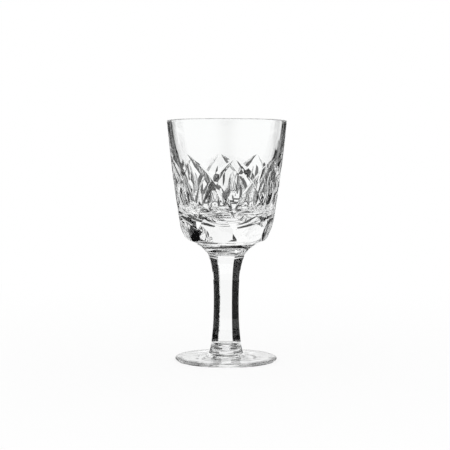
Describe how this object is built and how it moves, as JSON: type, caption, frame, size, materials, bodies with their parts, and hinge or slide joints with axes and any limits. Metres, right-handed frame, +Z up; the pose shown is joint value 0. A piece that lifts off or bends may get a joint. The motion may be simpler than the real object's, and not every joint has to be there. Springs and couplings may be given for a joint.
{
  "type": "port glass",
  "caption": "Small stemmed port glass in clear cut crystal: tapered bowl cut with flutes, crossing arches and olives, a panelled stem and a plain round foot.",
  "frame": {"origin": "middle of the plane that the foot rests on", "axes": "+Z up along the glass's axis, towards the rim; one stem panel faces -Y"},
  "size_m": [0.0538, 0.0538, 0.108],
  "materials": {
    "bowl_crystal": "clear crystal, fire-polished inside, cut and acid-polished outside",
    "stem_crystal": "clear crystal with polished flat panels",
    "foot_crystal": "clear fire-polished crystal"
  },
  "bodies": {
    "root": {"bowl": "bowl_crystal", "stem": "stem_crystal", "foot": "foot_crystal"}
  },
  "joints": []
}
